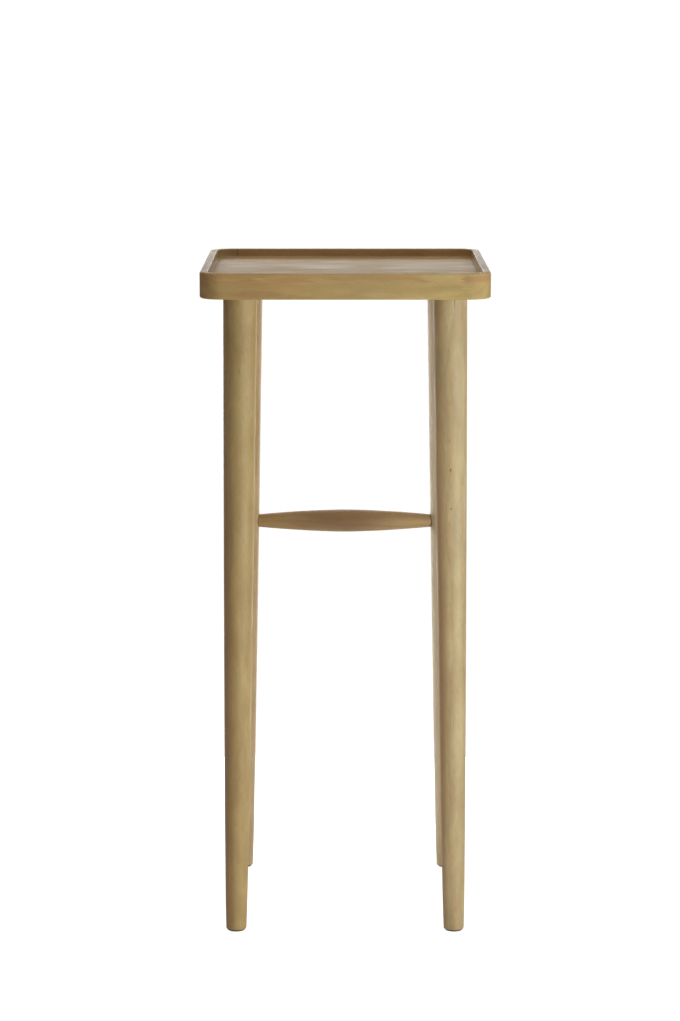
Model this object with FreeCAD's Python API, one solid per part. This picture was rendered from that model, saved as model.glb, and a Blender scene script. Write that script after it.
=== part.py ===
import FreeCAD, Part
import os

# A tall pedestal, in millimetres: a square tray glued up from staves and routed out to leave a rim, on four
# turned legs that splay outwards, with one turned stretcher between the rear legs. +Z is up, the front faces
# -Y, and the origin is on the floor under the middle of the tray.

# Overall sizes
stand_height = 708.0
tray_width = 300.0
tray_depth = 300.0
tray_thickness = 27.0

# Rim and recess of the tray
rim_width = 8.0
recess_depth = 9.0
tray_corner_radius = 24.0
recess_corner_radius = 16.0
outer_edge_round = 2.0
rim_edge_round = 1.0
recess_cove_radius = 2.0

# Staves of the tray, from front to back
stave_names = ("front", "front_inner", "front_middle", "back_middle", "back_inner", "back")

# Finger joints of the front and back staves, and the wood between each joint and the mortise beside it
finger_length = 4.2
finger_pitch = 2.9
finger_tip_width = 0.5
joint_wall = 0.3

# Legs: the inset is from the tray's edge to the leg's axis under the tray, and the splay is the foot's reach
# past that place, both along X and along Y
leg_corners = {"front_left": (-1, -1), "front_right": (1, -1), "rear_left": (-1, 1), "rear_right": (1, 1)}
leg_top_diameter = 35.4
leg_foot_diameter = 21.7
leg_inset = 41.2
leg_splay = 7.9
leg_taper_power = 0.68
leg_curve_shares = (0.0, 0.02, 0.06, 0.14, 0.3, 0.55, 0.8, 1.0)
foot_round = 1.2

# Round tenons of the legs, and the wood left between each blind mortise and the tray's floor
leg_tenon_diameter = 18.0
mortise_cover = 4.0

# Stretcher between the rear legs
stretcher_height = 404.5
stretcher_diameter = 25.2
stretcher_end_diameter = 14.5
stretcher_tenon_length = 14.0
stretcher_taper_power = 1.65
stretcher_curve_shares = (-1.0, -0.75, -0.5, -0.25, 0.0, 0.25, 0.5, 0.75, 1.0)

# Plastic glides under the feet, and the ring of bare wood around each of them
glide_thickness = 1.2
glide_inset = 1.6
glide_edge_round = 0.4

# Chamfer on the end of every tenon, the glue's room around and past it, and the overrun of all cuts
tenon_chamfer = 1.0
glue_clearance = 0.15
tenon_end_clearance = 1.0
cut_overrun = 5.0
edge_tolerance = 0.01

# Heights and lengths that follow from the sizes above
tray_underside = stand_height - tray_thickness
tray_floor = stand_height - recess_depth
leg_height = tray_underside - glide_thickness
leg_tenon_length = tray_floor - mortise_cover - tenon_end_clearance - tray_underside
mortise_radius = leg_tenon_diameter / 2 + glue_clearance
joint_reach = tray_width / 2 - leg_inset + mortise_radius + joint_wall + finger_length / 2

vector = FreeCAD.Vector
right = vector(1, 0, 0)
back = vector(0, 1, 0)
up = vector(0, 0, 1)


def edges_at(shape, height):
    """The edges of a shape that lie level at one height."""
    level = [edge for edge in shape.Edges if edge.BoundBox.ZLength < edge_tolerance]
    return [edge for edge in level if abs(edge.BoundBox.ZMin - height) < edge_tolerance]


def rounded_slab(width, depth, corner_radius, bottom, height):
    """A slab around the origin's axis with rounded upright corners."""
    slab = Part.makeBox(width, depth, height, vector(-width / 2, -depth / 2, bottom))
    corners = [edge for edge in slab.Edges if edge.BoundBox.ZLength > edge_tolerance]
    return slab.makeFillet(corner_radius, corners)


def turned_piece(outline, end_run):
    """A piece turned about +Z: a smooth curve through (radius, height) points, with straight ends."""
    points = [vector(radius, 0, height) for radius, height in outline]
    curve = Part.BSplineCurve()
    curve.interpolate(points)
    low = points[0] - up * end_run
    high = points[-1] + up * end_run
    corners = [points[-1], high, vector(0, 0, high.z), vector(0, 0, low.z), low, points[0]]
    sides = [Part.makeLine(start, end) for start, end in zip(corners, corners[1:])]
    face = Part.Face(Part.Wire([curve.toShape()] + sides))
    return face.revolve(vector(), up, 360)


def leg_radius(share):
    """A leg's radius at a share of its height above the foot."""
    diameter = leg_foot_diameter + (leg_top_diameter - leg_foot_diameter) * share ** leg_taper_power
    return diameter / 2


def leg_axis(corner):
    """The middle of a leg's foot and the middle of its shoulder under the tray."""
    side_x, side_y = leg_corners[corner]
    reach_x = tray_width / 2 - leg_inset
    reach_y = tray_depth / 2 - leg_inset
    foot = vector(side_x * (reach_x + leg_splay), side_y * (reach_y + leg_splay), glide_thickness)
    shoulder = vector(side_x * reach_x, side_y * reach_y, tray_underside)
    return foot, shoulder


def shoulder_cylinder(corner, radius, height):
    """A cylinder around a leg's axis, standing out above its shoulder: the tenon, or the mortise for it."""
    foot, shoulder = leg_axis(corner)
    direction = (shoulder - foot).normalize()
    root = shoulder - direction * cut_overrun
    length = cut_overrun + height
    return Part.makeCylinder(radius, length, root, direction)


def leg_tenon(corner):
    """The round tenon above a leg's shoulder, with a chamfered end."""
    tenon = shoulder_cylinder(corner, leg_tenon_diameter / 2, leg_tenon_length)
    end = max(tenon.Edges, key=lambda edge: edge.CenterOfMass.z)
    return tenon.makeChamfer(tenon_chamfer, [end])


def stretcher_seat():
    """Half the stretcher's length between the rear legs, and how far it lies behind the middle."""
    foot, shoulder = leg_axis("rear_right")
    share = (stretcher_height - glide_thickness) / leg_height
    centre = foot + (shoulder - foot) * share
    return centre.x - leg_radius(share), centre.y


def stretcher_mortise(side_x):
    """The blind hole in a rear leg that takes one end of the stretcher."""
    half_span, behind = stretcher_seat()
    mouth = vector(side_x * (half_span - cut_overrun), behind, stretcher_height)
    length = cut_overrun + stretcher_tenon_length + tenon_end_clearance
    return Part.makeCylinder(stretcher_end_diameter / 2 + glue_clearance, length, mouth, right * side_x)


def leg(corner):
    """A turned leg with level ends, a rounded foot and its tenon."""
    foot, shoulder = leg_axis(corner)
    length = (shoulder - foot).Length
    outline = [(leg_radius(share), share * length) for share in leg_curve_shares]
    body = turned_piece(outline, cut_overrun)
    body.Placement = FreeCAD.Placement(foot, FreeCAD.Rotation(up, shoulder - foot))
    low_corner = vector(-tray_width, -tray_depth, glide_thickness)
    body = body.common(Part.makeBox(2 * tray_width, 2 * tray_depth, leg_height, low_corner))
    body = body.makeFillet(foot_round, edges_at(body, glide_thickness))
    body = body.fuse(leg_tenon(corner)).removeSplitter()
    side_x, side_y = leg_corners[corner]
    if side_y > 0:
        body = body.cut(stretcher_mortise(side_x))
    return body


def stretcher():
    """The spindle between the rear legs, fullest in the middle, with a tenon at each end."""
    half_span, behind = stretcher_seat()
    outline = []
    for share in stretcher_curve_shares:
        fullness = 1 - abs(share) ** stretcher_taper_power
        diameter = stretcher_end_diameter + (stretcher_diameter - stretcher_end_diameter) * fullness
        outline.append((diameter / 2, share * half_span))
    spindle = turned_piece(outline, stretcher_tenon_length)
    ends = [max(spindle.Edges, key=lambda edge: side * edge.CenterOfMass.z) for side in (-1, 1)]
    spindle = spindle.makeChamfer(tenon_chamfer, ends)
    spindle.Placement = FreeCAD.Placement(vector(0, behind, stretcher_height), FreeCAD.Rotation(up, right))
    return spindle


def foot_glide(corner):
    """The plastic disc under a foot, with its lower edge eased."""
    foot, shoulder = leg_axis(corner)
    glide = Part.makeCylinder(leg_foot_diameter / 2 - glide_inset, glide_thickness, vector(foot.x, foot.y, 0))
    return glide.makeFillet(glide_edge_round, edges_at(glide, 0))


def tray_block():
    """The whole tray: rounded corners, eased edges, the routed recess and the legs' mortises."""
    block = rounded_slab(tray_width, tray_depth, tray_corner_radius, tray_underside, tray_thickness)
    level_edges = edges_at(block, tray_underside) + edges_at(block, stand_height)
    block = block.makeFillet(outer_edge_round, level_edges)
    recess = rounded_slab(tray_width - 2 * rim_width, tray_depth - 2 * rim_width, recess_corner_radius,
                          tray_floor, recess_depth + cut_overrun)
    recess = recess.makeFillet(recess_cove_radius, edges_at(recess, tray_floor))
    block = block.cut(recess)
    recess_box = recess.BoundBox
    recess_box.enlarge(edge_tolerance)
    rim_edges = [edge for edge in edges_at(block, stand_height) if recess_box.isInside(edge.BoundBox)]
    block = block.makeFillet(rim_edge_round, rim_edges)
    for corner in leg_corners:
        block = block.cut(shoulder_cylinder(corner, mortise_radius, leg_tenon_length + tenon_end_clearance))
    return block


def left_of_fingers(joint_x):
    """Everything left of a finger joint, whose trapezoid fingers run right through from front to back."""
    finger_count = round(tray_thickness / finger_pitch)
    pitch = tray_thickness / finger_count
    root_x = joint_x - finger_length / 2
    tip_x = joint_x + finger_length / 2
    half_tip = finger_tip_width / 2
    far_left = -tray_width
    low = tray_underside - cut_overrun
    high = stand_height + cut_overrun
    outline = [(far_left, low), (root_x, low)]
    for index in range(finger_count):
        start = tray_underside + index * pitch
        middle = start + pitch / 2
        outline += [(root_x, start + half_tip), (tip_x, middle - half_tip)]
        outline += [(tip_x, middle + half_tip), (root_x, start + pitch - half_tip)]
    outline += [(root_x, high), (far_left, high), (far_left, low)]
    wire = Part.makePolygon([vector(x, -tray_depth, z) for x, z in outline])
    return Part.Face(wire).extrude(back * 2 * tray_depth)


def tray_staves():
    """The tray's pieces by name: the front and the back stave are each joined from two lengths."""
    block = tray_block()
    stave_depth = tray_depth / len(stave_names)
    pieces = {}
    for index, name in enumerate(stave_names):
        corner = vector(-tray_width, index * stave_depth - tray_depth / 2, tray_underside - cut_overrun)
        strip = Part.makeBox(2 * tray_width, stave_depth, tray_thickness + 2 * cut_overrun, corner)
        pieces[f"tray_{name}_stave"] = block.common(strip)
    front = pieces["tray_front_stave"]
    front_fingers = left_of_fingers(joint_reach)
    pieces["tray_front_stave"] = front.common(front_fingers)
    pieces["tray_front_stave_end"] = front.cut(front_fingers)
    rear = pieces["tray_back_stave"]
    rear_fingers = left_of_fingers(-joint_reach)
    pieces["tray_back_stave"] = rear.cut(rear_fingers)
    pieces["tray_back_stave_end"] = rear.common(rear_fingers)
    return pieces


def all_pieces():
    """Every piece of the pedestal by its name."""
    pieces = tray_staves()
    for corner in leg_corners:
        pieces[f"{corner}_leg"] = leg(corner)
        pieces[f"{corner}_foot_glide"] = foot_glide(corner)
    pieces["rear_stretcher"] = stretcher()
    return pieces


os.makedirs("parts", exist_ok=True)
for name, piece in all_pieces().items():
    piece.exportStep(f"parts/{name}.step")
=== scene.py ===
import math

import bpy
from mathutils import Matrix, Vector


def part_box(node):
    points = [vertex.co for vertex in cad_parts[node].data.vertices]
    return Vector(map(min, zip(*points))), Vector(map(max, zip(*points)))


# A tall wooden pedestal in a white studio, in metres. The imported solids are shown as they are. Every piece
# of wood gets a timber of its own: a solid grain of growth rings, streaks, fibres and pores that runs along
# the piece.

# Axes by number, and how many there are
axis_x = 0
axis_z = 2
axis_count = 3

# Camera
camera_place = (-0.0054, -3.1267, 0.9905)
camera_pitch = math.radians(79.94)
camera_lens = 102.96
camera_sensor = 36.0

# Studio: a wide soft box right of the camera, a bright panel behind the object, a weak light above, a narrow
# strip of light at the front left and one at the back left, a dim room and a pale floor
white = (1.0, 1.0, 1.0, 1.0)
backdrop_strength = 1.1
room_colour = (1.0, 0.91, 0.87, 1.0)
room_strength = 0.21
room_back_strength = 0.2
room_top_strength = 0.15
key_place = (1.1, -1.1, 0.4)
key_size = (1.4, 0.8)
key_strength = 5.2
key_colour = (0.95, 1.0, 0.94)
panel_place = (0.0, 0.6, 0.45)
panel_size = (0.8, 0.9)
panel_strength = 2.5
panel_colour = (0.95, 1.0, 1.0)
top_place = (0.0, 0.05, 1.7)
top_size = (1.0, 1.0)
top_strength = 1.0
fill_place = (-0.45, -1.0, 0.33)
fill_aim = (0.11, 0.0)
fill_size = (0.05, 0.66)
fill_strength = 0.65
fill_colour = (1.0, 0.93, 0.76)
fill_beam = math.radians(17.0)
kicker_place = (-0.6, 0.3, 0.33)
kicker_aim = (0.095, 0.14)
kicker_size = (0.03, 0.66)
kicker_strength = 1.7
kicker_colour = (0.90, 0.95, 1.0)
kicker_beam = math.radians(10.0)
floor_size = 40.0
floor_grey = (0.7, 0.7, 0.7, 1.0)
floor_seen_strength = 0.8

# Colours, linear: the wood's before each piece's own tint, the marks' and the glides'
no_tint = (1.0, 1.0, 1.0)
light_wood = (0.50, 0.350, 0.148)
middle_wood = (0.43, 0.288, 0.116)
late_wood = (0.35, 0.220, 0.090)
red_wood = (0.44, 0.262, 0.108)
mark_brown = (0.10, 0.055, 0.028)
# Darker brown for the stretcher's middle
stretcher_middle_brown = (0.22, 0.118, 0.060)
band_red = (0.39, 0.232, 0.098)
# Red brown painted on the legs' shaded left sides: painted shade
shaded_side_red = (0.40, 0.225, 0.105)
olive_wood = (0.36, 0.265, 0.115)
pale_wood = (0.53, 0.40, 0.195)
# Pale colour painted on the rear right leg's inner strip: painted light and sheen
painted_light_pale = (0.52, 0.425, 0.295)
joint_brown = (0.080, 0.048, 0.030)
glide_brown = (0.035, 0.026, 0.020)
glide_scuffed = (0.060, 0.048, 0.040)

# Each piece's tints at the start and the end of its grain, its share of red streaks, the gap between its
# growth rings, its middle roughness, and the seed of its grain
timbers = {
    "tray_front_stave": ((0.94, 0.87, 0.80), (1.09, 1.13, 1.08), 0.85, 0.008, 0.80, 1.0),
    "tray_front_stave_end": ((1.02, 1.06, 1.01), (1.02, 1.06, 1.01), 1.00, 0.008, 0.72, 2.0),
    # The front inner stave's darker tints are painted shade on the floor along the front rim
    "tray_front_inner_stave": ((0.80, 0.76, 0.78), (0.78, 0.72, 0.75), 0.55, 0.009, 0.92, 3.0),
    "tray_front_middle_stave": ((0.86, 0.88, 0.90), (0.88, 0.91, 0.94), 0.60, 0.007, 0.56, 4.0),
    "tray_back_middle_stave": ((0.80, 0.81, 0.81), (0.88, 0.92, 0.99), 0.60, 0.009, 0.52, 5.0),
    "tray_back_inner_stave": ((0.92, 0.91, 0.90), (0.92, 0.94, 0.99), 0.55, 0.008, 0.54, 6.0),
    "tray_back_stave": ((0.94, 0.87, 0.82), (0.92, 0.86, 0.83), 0.35, 0.008, 0.56, 7.0),
    "tray_back_stave_end": ((0.95, 1.00, 1.00), (0.84, 0.78, 0.82), 0.20, 0.008, 0.56, 8.0),
    # The front-left leg's end tint darkens it towards its top: painted shade under the tray
    "front_left_leg": ((0.96, 0.98, 0.96), (0.86, 0.87, 0.86), 0.20, 0.007, 0.52, 9.0),
    "front_right_leg": ((0.97, 1.06, 1.34), (0.98, 1.10, 1.42), 0.15, 0.008, 0.52, 10.0),
    # The rear legs' pale, bluish tints are painted light and sheen on their inner sides as well as paler wood
    "rear_left_leg": ((1.06, 1.10, 1.45), (0.97, 0.99, 1.22), 0.20, 0.007, 0.52, 11.0),
    "rear_right_leg": ((0.97, 1.04, 1.30), (0.94, 1.02, 1.26), 0.15, 0.008, 0.52, 12.0),
    "rear_stretcher": ((0.89, 0.85, 0.87), (0.80, 0.79, 0.86), 0.25, 0.007, 0.56, 13.0),
}

# Heights between which red streaks set in and fade out on a piece, and the share of that band that is red
# all over
red_bands = {"tray_front_stave": (0.690, 0.699, 0.712, 0.714, 0.1),
             "tray_front_stave_end": (0.6975, 0.6995, 0.7042, 0.7058, 0.8)}

# The tray's rim: the heights between which its closer surface sets in and its roughness, and for the side
# rims the reach between which they darken and their tint, a painted darkening and greying for their grey
# sheen
rim_heights = (0.7066, 0.7076)
rim_roughnesses = (0.38, 0.56)
rim_reaches = (0.1405, 0.1465)
side_rim_sheen_tint = (0.76, 0.80, 0.95)

# Painted light and shade in the tray: the recess that it lies in, painted shade on the floor along the side
# walls with its tint, the closer end grain of both walls with a tint that paints them paler for their sheen,
# and painted shade in the hollows at the foot of the left and the right wall, each with a share, with their
# tint and roughness
recess_reaches = (0.1428, 0.1433)
floor_heights = (0.6970, 0.6985)
wall_heights = (0.6994, 0.7004)
corner_reaches = (0.122, 0.139)
corner_shade_tint = (0.84, 0.81, 0.76)
wall_reaches = (0.1404, 0.1412)
wall_low_heights = (0.7006, 0.7020)
wall_top_heights = (0.7074, 0.7079)
wall_sheen_tint = (1.28, 1.32, 1.50)
wall_roughness = 0.28
hollow_reaches = ((-0.1350, -0.1402, 0.42), (0.1390, 0.1404, 0.60))
hollow_shade_tint = (0.90, 0.88, 0.86)
hollow_roughness = 0.85

# Glue lines between the staves: a stave's depth, how far from the middle they lie, their half width and
# their shade
stave_depth = 0.050
seam_reach = 0.120
seam_widths = (0.0001, 0.0003)
seam_shade = 0.72

# Painted shade on the feet's rounded lower edge: the heights between which it sets in, and its tint
foot_shade_heights = (0.0012, 0.0030)
foot_shade_tint = (0.36, 0.36, 0.38)

# Sizes of the grain's features, across and along it
bend_size = (0.060, 0.15)
tone_size = (0.020, 0.06)
streak_size = (0.0040, 0.03)
figure_size = (0.012, 0.025)
hue_size = (0.006, 0.030)
fibre_size = (0.0011, 0.05)
fleck_size = (0.0016, 0.018)
pore_size = (0.0005, 0.007)
wear_size = (0.0020, 0.004)
ray_size = (0.0030, 0.011)
sheen_size = (0.026, 0.055)

# The noise's own middle and how fine it is, the values between which each feature sets in, and how strongly
# and how slanted it shows
noise_middle = (0.5, 0.5, 0.5)
plain_detail = 1.0
grain_detail = 2.0
scuff_detail = 3.0
ring_rise = (0.10, 0.85)
ring_fall = (0.86, 1.00)
ring_contrast = (0.05, 0.40)
noise_bounds = (0.30, 0.70)
streak_bounds = (0.45, 0.68)
streak_distortion = 0.8
fleck_bounds = (0.69, 0.78)
pore_bounds = (0.60, 0.72)
ray_bounds = (0.60, 0.70)
end_grain_bounds = (0.75, 0.98)
speckle_bounds = (0.35, 0.60)
scuff_bounds = (0.45, 0.70)
figure_shades = (0.967, 1.033)
hue_tints = ((1.020, 0.984, 0.976), (0.980, 1.016, 1.024))
fibre_shades = (0.975, 1.025)
pore_shade = 0.80
fleck_shade = 0.88
ray_shade = 1.06
end_grain_shade = 0.88
fibre_roughness = 0.06
sheen_roughness = 0.06
figure_slant = 0.9
ray_slant = 1.6
fibre_relief = 0.4
relief_strength = 0.25
relief_depth = 0.0001
glide_roughnesses = (0.40, 0.65)

# How far the grain wanders across the piece, the pith's place beside it, and how the seed shifts the grain
bend_reach = 0.030
pith_offset = (0.018, -0.040)
seed_step = (3.7, 2.3, 5.1)

# Figure of the tray's front face: each mark's place along it and its height, its half length and half depth,
# how soft its edge is, its colour and how much it covers
front_face = -0.1500
front_mark_width = 0.0300
front_figure = (
    (0.0330, 0.7037, 0.0380, 0.0026, 0.6, band_red, 0.65),
    (0.0700, 0.7028, 0.0060, 0.0014, 0.6, band_red, 0.60),
    (0.0765, 0.7013, 0.0055, 0.0013, 0.6, band_red, 0.70),
    (0.0820, 0.6998, 0.0050, 0.0011, 0.6, band_red, 0.70),
    (0.0205, 0.6920, 0.0120, 0.0034, 0.8, olive_wood, 0.60),
    (0.0350, 0.6860, 0.0120, 0.0034, 0.9, pale_wood, 0.40),
    (0.0980, 0.7040, 0.0200, 0.0036, 0.8, pale_wood, 0.40),
    (-0.0105, 0.7030, 0.0050, 0.0016, 0.6, band_red, 0.80),
    (-0.0380, 0.7000, 0.0090, 0.0009, 0.6, band_red, 0.50),
    (-0.0630, 0.7015, 0.0110, 0.0014, 0.8, band_red, 0.50),
    (-0.0900, 0.7025, 0.0060, 0.0012, 0.6, pale_wood, 0.45),
    (-0.0980, 0.7005, 0.0070, 0.0012, 0.6, band_red, 0.50),
    (-0.1240, 0.7035, 0.0110, 0.0018, 0.6, band_red, 0.45),
    (-0.1220, 0.6930, 0.0140, 0.0026, 0.8, olive_wood, 0.55),
)

# Marks in a piece: a place, the mark's half length, half width and half depth, how soft its edge is, its
# colour and how much it covers. The back stave's is the glue that shows on its joint, and the last two on the
# stretcher are the dark rings where it enters the legs.
joint_glue = ((-0.1204, 0.1420, 0.7035), 0.0008, 0.0030, 0.006, 0.5, joint_brown, 0.40)
marks = {
    "tray_back_stave": [joint_glue],
    "tray_back_stave_end": [joint_glue],
    "tray_front_stave_end": [((0.1400, front_face, 0.7022), 0.0300, 0.0600, 0.0030, 0.35, band_red, 0.8)],
    "tray_front_stave": [((0.0120, front_face, 0.6900), 0.0500, 0.0500, 0.018, 0.7, olive_wood, 0.45)],
    "front_right_leg": [((0.1106, -0.1280, 0.4600), 0.0011, 0.0007, 0.012, 0.5, mark_brown, 0.75),
                        ((0.1128, -0.1265, 0.6760), 0.0064, 0.0004, 0.012, 0.6, mark_brown, 0.7),
                        ((0.1098, -0.1280, 0.5010), 0.0014, 0.0008, 0.012, 0.5, mark_brown, 0.8),
                        ((0.1086, -0.1280, 0.5320), 0.0020, 0.0005, 0.012, 0.5, mark_brown, 0.35),
                        ((0.1126, -0.1280, 0.5220), 0.0020, 0.0004, 0.012, 0.5, mark_brown, 0.30),
                        ((0.1130, -0.1280, 0.4960), 0.0012, 0.0005, 0.012, 0.5, mark_brown, 0.25),
                        # Painted shade: red brown on the leg's shaded left side
                        ((0.0990, -0.1200, 0.2000), 0.3000, 0.0080, 0.030, 0.7, shaded_side_red, 0.6)],
    # Painted shade: red brown on the leg's shaded left side
    "front_left_leg": [((-0.1300, -0.1150, 0.1800), 0.3200, 0.0130, 0.030, 0.7, shaded_side_red, 0.6)],
    # Painted light and sheen on the rear right leg's inner strip
    "rear_right_leg": [((0.0940, 0.1080, 0.3500), 0.7000, 0.0130, 0.060, 0.7, painted_light_pale, 0.85)],
    # The stretcher's first mark darkens its middle
    "rear_stretcher": [((-0.0050, 0.1130, 0.4055), 0.0550, 0.0300, 0.010, 0.6, stretcher_middle_brown, 0.75),
                       ((-0.1120, 0.1120, 0.4045), 0.0163, 0.0163, 0.050, 0.04, joint_brown, 0.6),
                       ((0.1120, 0.1120, 0.4045), 0.0167, 0.0167, 0.050, 0.04, joint_brown, 0.95)],
}
marks["tray_front_stave"] += [
    ((along, front_face, height), half_length, front_mark_width, half_depth, softness, colour, cover)
    for along, height, half_length, half_depth, softness, colour, cover in front_figure]


class Nodes:
    """Adds nodes to one node tree and links them."""

    def __init__(self, owner):
        owner.use_nodes = True
        self.tree = owner.node_tree
        self.tree.nodes.clear()

    def add(self, kind, inputs=None, **settings):
        """A node with its properties set and its inputs filled or linked."""
        made = self.tree.nodes.new(kind)
        for name, value in settings.items():
            setattr(made, name, value)
        for key, value in (inputs or {}).items():
            if isinstance(value, bpy.types.NodeSocket):
                self.tree.links.new(value, made.inputs[key])
            else:
                made.inputs[key].default_value = value
        return made

    def number(self, operation, first, second=0.0):
        """The result of a sum on numbers."""
        return self.add("ShaderNodeMath", {0: first, 1: second}, operation=operation).outputs[0]

    def product(self, *factors):
        """Several numbers multiplied together."""
        result = factors[0]
        for factor in factors[1:]:
            result = self.number("MULTIPLY", result, factor)
        return result

    def vector(self, operation, first, second):
        """The vector that a sum on vectors gives."""
        made = self.add("ShaderNodeVectorMath", {0: first, 1: second}, operation=operation)
        return made.outputs["Vector"]

    def scaled(self, vector, share):
        """A vector or colour multiplied by a number."""
        made = self.add("ShaderNodeVectorMath", {0: vector, "Scale": share}, operation="SCALE")
        return made.outputs["Vector"]

    def length(self, vector):
        """A vector's length."""
        return self.add("ShaderNodeVectorMath", {0: vector}, operation="LENGTH").outputs["Value"]

    def spread(self, value, low, high, out_low=0.0, out_high=1.0):
        """A value's place between two bounds, smoothed, on a new range."""
        inputs = {"Value": value, "From Min": low, "From Max": high, "To Min": out_low, "To Max": out_high}
        return self.add("ShaderNodeMapRange", inputs, interpolation_type="SMOOTHSTEP").outputs["Result"]

    def fade(self, value, low, high, strength=1.0):
        """A strength that falls to nothing as a value goes from one bound to another."""
        return self.spread(value, low, high, strength, 0.0)

    def shade(self, share, full_shade):
        """A factor that goes from one to a full shade as a share goes from nothing to all."""
        return self.spread(share, 0.0, 1.0, 1.0, full_shade)

    def between(self, share, first, second):
        """A number that is a share of the way between two others."""
        inputs = {"Factor": share, 2: first, 3: second}
        return self.add("ShaderNodeMix", inputs, data_type="FLOAT").outputs[0]

    def blend(self, share, first, second):
        """A mix of two colours."""
        made = self.add("ShaderNodeMix", {"Factor": share}, data_type="RGBA")
        for socket, colour in ((made.inputs[6], first), (made.inputs[7], second)):
            if isinstance(colour, bpy.types.NodeSocket):
                self.tree.links.new(colour, socket)
            else:
                socket.default_value = (*colour, 1.0)
        return made.outputs[2]

    def tinted(self, colour, share, tint):
        """A colour with a share of a tint on it."""
        return self.vector("MULTIPLY", colour, self.blend(share, no_tint, tint))

    def cloud(self, place, size, detail=grain_detail, distortion=0.0):
        """Noise whose features have a size across and along the first axis of a place."""
        across, along = size
        stretched = self.vector("DIVIDE", place, (along, across, across))
        inputs = {"Vector": stretched, "Scale": 1.0, "Detail": detail, "Distortion": distortion}
        return self.add("ShaderNodeTexNoise", inputs)

    def surface(self, shader):
        """Ends a material with a shader."""
        self.add("ShaderNodeOutputMaterial", {"Surface": shader.outputs[0]})


def in_grain_order(parts, grain_axis):
    """Three parts in the order along the grain, across it, and across it again."""
    return [parts[(grain_axis + step) % axis_count] for step in range(axis_count)]


def turned(nodes, place, grain_axis):
    """A place with its parts in the grain's order."""
    parts = nodes.add("ShaderNodeSeparateXYZ", {0: place}).outputs
    inputs = dict(enumerate(in_grain_order(parts, grain_axis)))
    return nodes.add("ShaderNodeCombineXYZ", inputs).outputs[0]


def tray_surface(nodes, place, rise, speckle, colour, rough):
    """The tray's own colour and roughness: its rim with its painted grey sheen, the painted shade and light
    in its recess, and its glue lines.
    """
    parts = nodes.add("ShaderNodeSeparateXYZ", {0: place}).outputs
    reach = nodes.number("ABSOLUTE", parts["X"])
    depth = nodes.number("ABSOLUTE", parts["Y"])
    rim = nodes.spread(rise, *rim_heights)
    # The side rims' tint is painted: darker and greyer, standing in for the grey sheen they show
    side_rim = nodes.product(rim, nodes.spread(reach, *rim_reaches))
    colour = nodes.tinted(colour, side_rim, side_rim_sheen_tint)
    rough = nodes.between(rim, rough, nodes.between(speckle, *rim_roughnesses))

    recess = nodes.product(nodes.fade(reach, *recess_reaches), nodes.spread(rise, *floor_heights),
                           nodes.fade(depth, *recess_reaches))
    # Painted shade on the floor along the side walls
    corner = nodes.product(recess, nodes.spread(reach, *corner_reaches), nodes.fade(rise, *wall_heights))
    colour = nodes.tinted(colour, corner, corner_shade_tint)
    # Painted shade in the hollows at the foot of the walls, with a higher roughness there
    for outset, wall_side, share in hollow_reaches:
        hollow = nodes.product(recess, nodes.spread(parts["X"], outset, wall_side),
                               nodes.fade(rise, *wall_heights, share))
        colour = nodes.tinted(colour, hollow, hollow_shade_tint)
        rough = nodes.between(hollow, rough, hollow_roughness)
    # The side walls' pale tint is painted sheen; their lower roughness is their own
    wall = nodes.product(recess, nodes.spread(reach, *wall_reaches), nodes.spread(rise, *wall_low_heights),
                         nodes.fade(rise, *wall_top_heights))
    colour = nodes.tinted(colour, wall, wall_sheen_tint)
    rough = nodes.between(wall, rough, wall_roughness)

    seam_distance = nodes.number("PINGPONG", depth, stave_depth / 2)
    between_staves = nodes.number("LESS_THAN", depth, seam_reach)
    seam = nodes.product(nodes.fade(seam_distance, *seam_widths), between_staves)
    return nodes.scaled(colour, nodes.shade(seam, seam_shade)), rough


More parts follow.
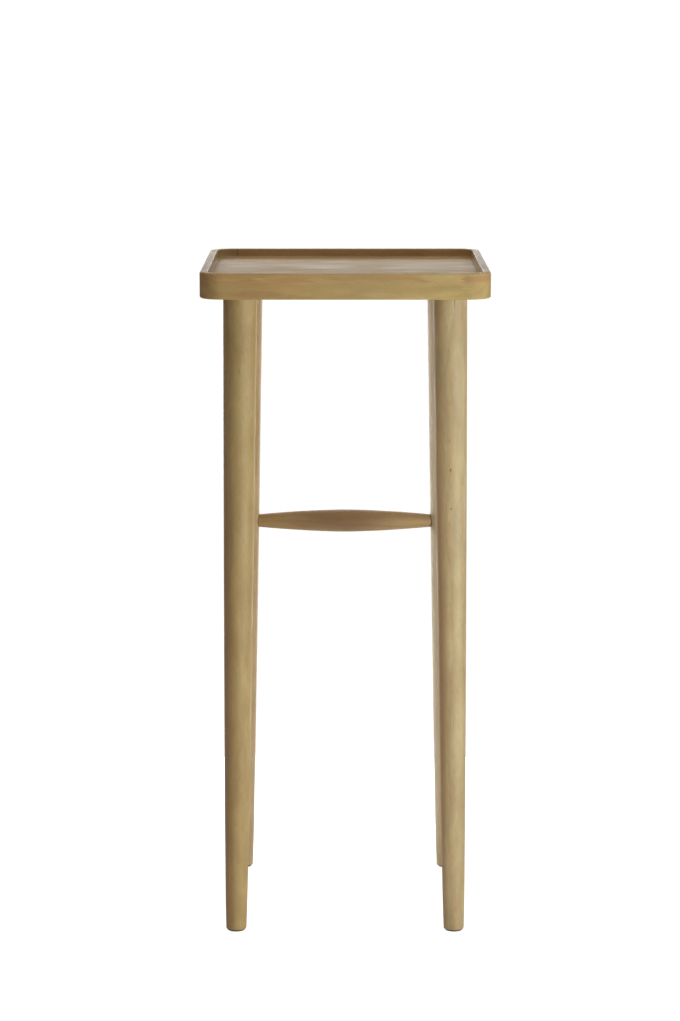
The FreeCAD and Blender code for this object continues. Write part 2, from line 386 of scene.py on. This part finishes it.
def wood(name, grain_axis):
    """A piece's satin wood, with its grain along one axis."""
    start_tint, end_tint, red_share, ring_gap, roughness, seed = timbers[name]
    low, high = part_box(name)
    material = bpy.data.materials.new(name + "_wood")
    nodes = Nodes(material)
    coordinates = nodes.add("ShaderNodeTexCoord").outputs
    place = turned(nodes, coordinates["Object"], grain_axis)
    facing = turned(nodes, coordinates["Normal"], grain_axis)
    grain = nodes.vector("ADD", place, tuple(seed * step for step in seed_step))
    rise = nodes.add("ShaderNodeSeparateXYZ", {0: coordinates["Object"]}).outputs["Z"]

    across, across_again = in_grain_order((low + high) / 2, grain_axis)[1:]
    pith = (0.0, across + pith_offset[0], across_again + pith_offset[1])
    bend = nodes.vector("SUBTRACT", nodes.cloud(grain, bend_size).outputs["Color"], noise_middle)
    bend = nodes.vector("MULTIPLY", bend, (0.0, bend_reach, bend_reach))
    radial = nodes.vector("MULTIPLY", nodes.vector("SUBTRACT", place, pith), (0.0, 1.0, 1.0))
    turn = nodes.number("DIVIDE", nodes.length(nodes.vector("ADD", radial, bend)), ring_gap)
    ring = nodes.number("FRACT", turn)
    ring_number = nodes.number("FLOOR", turn)
    ring_tone = nodes.add("ShaderNodeTexWhiteNoise", {"W": ring_number}, noise_dimensions="1D")
    late = nodes.product(nodes.spread(ring, *ring_rise), nodes.fade(ring, *ring_fall),
                         nodes.spread(ring_tone.outputs["Value"], 0.0, 1.0, *ring_contrast))

    tone = nodes.spread(nodes.cloud(grain, tone_size).outputs["Fac"], *noise_bounds)
    streak = nodes.cloud(grain, streak_size, distortion=streak_distortion).outputs["Fac"]
    streak = nodes.spread(streak, *streak_bounds)
    if name in red_bands:
        set_in_low, set_in_high, fade_low, fade_high, solid = red_bands[name]
        streak = nodes.product(nodes.spread(rise, set_in_low, set_in_high),
                               nodes.spread(streak, 0.0, 1.0, solid, 1.0),
                               nodes.fade(rise, fade_low, fade_high))
    fibre = nodes.cloud(grain, fibre_size).outputs["Fac"]
    fleck = nodes.spread(nodes.cloud(grain, fleck_size, plain_detail).outputs["Fac"], *fleck_bounds)
    pore = nodes.spread(nodes.cloud(grain, pore_size, plain_detail).outputs["Fac"], *pore_bounds)
    sideways = turned(nodes, grain, axis_z)
    slanted = nodes.vector("ADD", grain, nodes.vector("MULTIPLY", sideways, (figure_slant, 0.0, 0.0)))
    figure = nodes.cloud(slanted, figure_size, plain_detail).outputs["Fac"]
    steep = nodes.vector("ADD", grain, nodes.vector("MULTIPLY", sideways, (ray_slant, 0.0, 0.0)))
    ray = nodes.spread(nodes.cloud(steep, ray_size, plain_detail).outputs["Fac"], *ray_bounds)
    facing_end = nodes.add("ShaderNodeSeparateXYZ", {0: facing}).outputs["X"]
    end_grain = nodes.spread(nodes.number("ABSOLUTE", facing_end), *end_grain_bounds)
    drift = nodes.add("ShaderNodeSeparateXYZ", {0: place}).outputs["X"]
    tint = nodes.blend(nodes.spread(drift, low[grain_axis], high[grain_axis]), start_tint, end_tint)

    colour = nodes.blend(tone, middle_wood, light_wood)
    colour = nodes.blend(late, colour, late_wood)
    colour = nodes.blend(nodes.product(streak, red_share), colour, red_wood)
    colour = nodes.vector("MULTIPLY", colour, tint)
    hue = nodes.spread(nodes.cloud(grain, hue_size).outputs["Fac"], *noise_bounds)
    colour = nodes.vector("MULTIPLY", colour, nodes.blend(hue, *hue_tints))
    shade = nodes.product(nodes.spread(figure, *noise_bounds, *figure_shades),
                          nodes.spread(fibre, *noise_bounds, *fibre_shades),
                          nodes.shade(pore, pore_shade), nodes.shade(fleck, fleck_shade),
                          nodes.shade(ray, ray_shade), nodes.shade(end_grain, end_grain_shade))
    colour = nodes.scaled(colour, shade)
    sheen = nodes.cloud(grain, sheen_size).outputs["Fac"]
    sheen_bounds = (roughness - sheen_roughness, roughness + sheen_roughness)
    rough = nodes.number("ADD", nodes.spread(fibre, *noise_bounds, -fibre_roughness, fibre_roughness),
                         nodes.spread(sheen, *noise_bounds, *sheen_bounds))
    if name.startswith("tray"):
        speckle = nodes.spread(nodes.cloud(grain, wear_size).outputs["Fac"], *speckle_bounds)
        colour, rough = tray_surface(nodes, place, rise, speckle, colour, rough)
    if name.endswith("leg"):
        # Painted shade on the feet's rounded lower edge, which faces the floor
        shaded_foot_edge = nodes.fade(rise, *foot_shade_heights)
        colour = nodes.tinted(colour, shaded_foot_edge, foot_shade_tint)
    for mark in marks.get(name, []):
        mark_place, half_length, half_width, half_depth, softness, mark_colour, cover = mark
        offset = nodes.vector("SUBTRACT", place, tuple(in_grain_order(mark_place, grain_axis)))
        offset = nodes.vector("DIVIDE", offset, (half_length, half_width, half_depth))
        share = nodes.fade(nodes.length(offset), 1.0 - softness, 1.0 + softness, cover)
        colour = nodes.blend(share, colour, mark_colour)

    relief = nodes.number("SUBTRACT", nodes.product(fibre, fibre_relief), pore)
    bump = nodes.add("ShaderNodeBump", {
        "Height": relief, "Strength": relief_strength, "Distance": relief_depth})
    shader = nodes.add("ShaderNodeBsdfPrincipled", {
        "Base Color": colour, "Roughness": rough, "Normal": bump.outputs["Normal"]})
    nodes.surface(shader)
    return material


def glide_plastic():
    """Moulded plastic, a little scuffed."""
    material = bpy.data.materials.new("glide_plastic")
    nodes = Nodes(material)
    place = nodes.add("ShaderNodeTexCoord").outputs["Object"]
    scuff = nodes.spread(nodes.cloud(place, wear_size, scuff_detail).outputs["Fac"], *scuff_bounds)
    shader = nodes.add("ShaderNodeBsdfPrincipled", {
        "Base Color": nodes.blend(scuff, glide_brown, glide_scuffed),
        "Roughness": nodes.between(scuff, *glide_roughnesses)})
    nodes.surface(shader)
    return material


def upright(place, aim):
    """The turn of an upright light that faces a point on the floor plan."""
    return math.pi / 2, 0.0, math.atan2(place[0] - aim[0], aim[1] - place[1])


def soft_box(name, place, size, strength, turn, beam=math.pi, colour=no_tint):
    """A rectangle of light with a turn, a beam and a colour of its own."""
    data = bpy.data.lights.new(name, "AREA")
    data.shape = "RECTANGLE"
    data.size, data.size_y = size
    data.energy = strength * math.pi * data.size * data.size_y
    data.spread = beam
    data.color = colour
    box = bpy.data.objects.new(name, data)
    box.location = place
    box.rotation_euler = turn
    box.visible_camera = False
    scene.collection.objects.link(box)


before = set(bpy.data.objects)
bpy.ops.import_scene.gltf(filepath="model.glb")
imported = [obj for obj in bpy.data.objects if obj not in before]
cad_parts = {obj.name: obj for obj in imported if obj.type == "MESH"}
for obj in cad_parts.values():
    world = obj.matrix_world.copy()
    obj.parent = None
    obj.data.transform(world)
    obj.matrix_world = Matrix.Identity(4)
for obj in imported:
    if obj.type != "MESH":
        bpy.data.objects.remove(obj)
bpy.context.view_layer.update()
scene = bpy.context.scene
scene.view_settings.view_transform = "Standard"

camera_data = bpy.data.cameras.new("camera")
camera_data.lens = camera_lens
camera_data.sensor_width = camera_sensor
camera = bpy.data.objects.new("camera", camera_data)
camera.location = camera_place
camera.rotation_euler = (camera_pitch, 0.0, 0.0)
scene.collection.objects.link(camera)
scene.camera = camera

world = bpy.data.worlds.new("studio")
scene.world = world
nodes = Nodes(world)
direction = nodes.add("ShaderNodeTexCoord").outputs["Generated"]
side = nodes.add("ShaderNodeSeparateXYZ", {0: direction}).outputs
strength = nodes.number("ADD", nodes.spread(side["Y"], 0.0, 1.0, 0.0, room_back_strength),
                        nodes.spread(side["Z"], 0.0, 1.0, room_strength, room_strength + room_top_strength))
glow = nodes.add("ShaderNodeBackground", {"Color": room_colour, "Strength": strength}).outputs[0]
backdrop = nodes.add("ShaderNodeBackground", {"Color": white, "Strength": backdrop_strength}).outputs[0]
seen = nodes.add("ShaderNodeLightPath").outputs["Is Camera Ray"]
mixed = nodes.add("ShaderNodeMixShader", {0: seen, 1: glow, 2: backdrop})
nodes.add("ShaderNodeOutputWorld", {"Surface": mixed.outputs[0]})

soft_box("key", key_place, key_size, key_strength, upright(key_place, (0.0, 0.0)), colour=key_colour)
soft_box("panel", panel_place, panel_size, panel_strength, upright(panel_place, (0.0, 0.0)),
         colour=panel_colour)
soft_box("top", top_place, top_size, top_strength, (0.0, 0.0, 0.0))
soft_box("fill", fill_place, fill_size, fill_strength, upright(fill_place, fill_aim), fill_beam, fill_colour)
soft_box("kicker", kicker_place, kicker_size, kicker_strength, upright(kicker_place, kicker_aim), kicker_beam,
         kicker_colour)

bpy.ops.mesh.primitive_plane_add(size=floor_size)
floor = bpy.context.object
floor.name = "floor"
floor_material = bpy.data.materials.new("floor_white")
nodes = Nodes(floor_material)
matt = nodes.add("ShaderNodeBsdfDiffuse", {"Color": floor_grey}).outputs[0]
lit = nodes.add("ShaderNodeEmission", {"Color": white, "Strength": floor_seen_strength}).outputs[0]
seen = nodes.add("ShaderNodeLightPath").outputs["Is Camera Ray"]
shown = nodes.add("ShaderNodeAddShader", {0: matt, 1: lit}).outputs[0]
nodes.surface(nodes.add("ShaderNodeMixShader", {0: seen, 1: matt, 2: shown}))
floor.data.materials.append(floor_material)

plastic = glide_plastic()
for name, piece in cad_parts.items():
    if name.endswith("glide"):
        finish = plastic
    else:
        finish = wood(name, axis_z if name.endswith("leg") else axis_x)
    piece.material_slots[0].material = finish
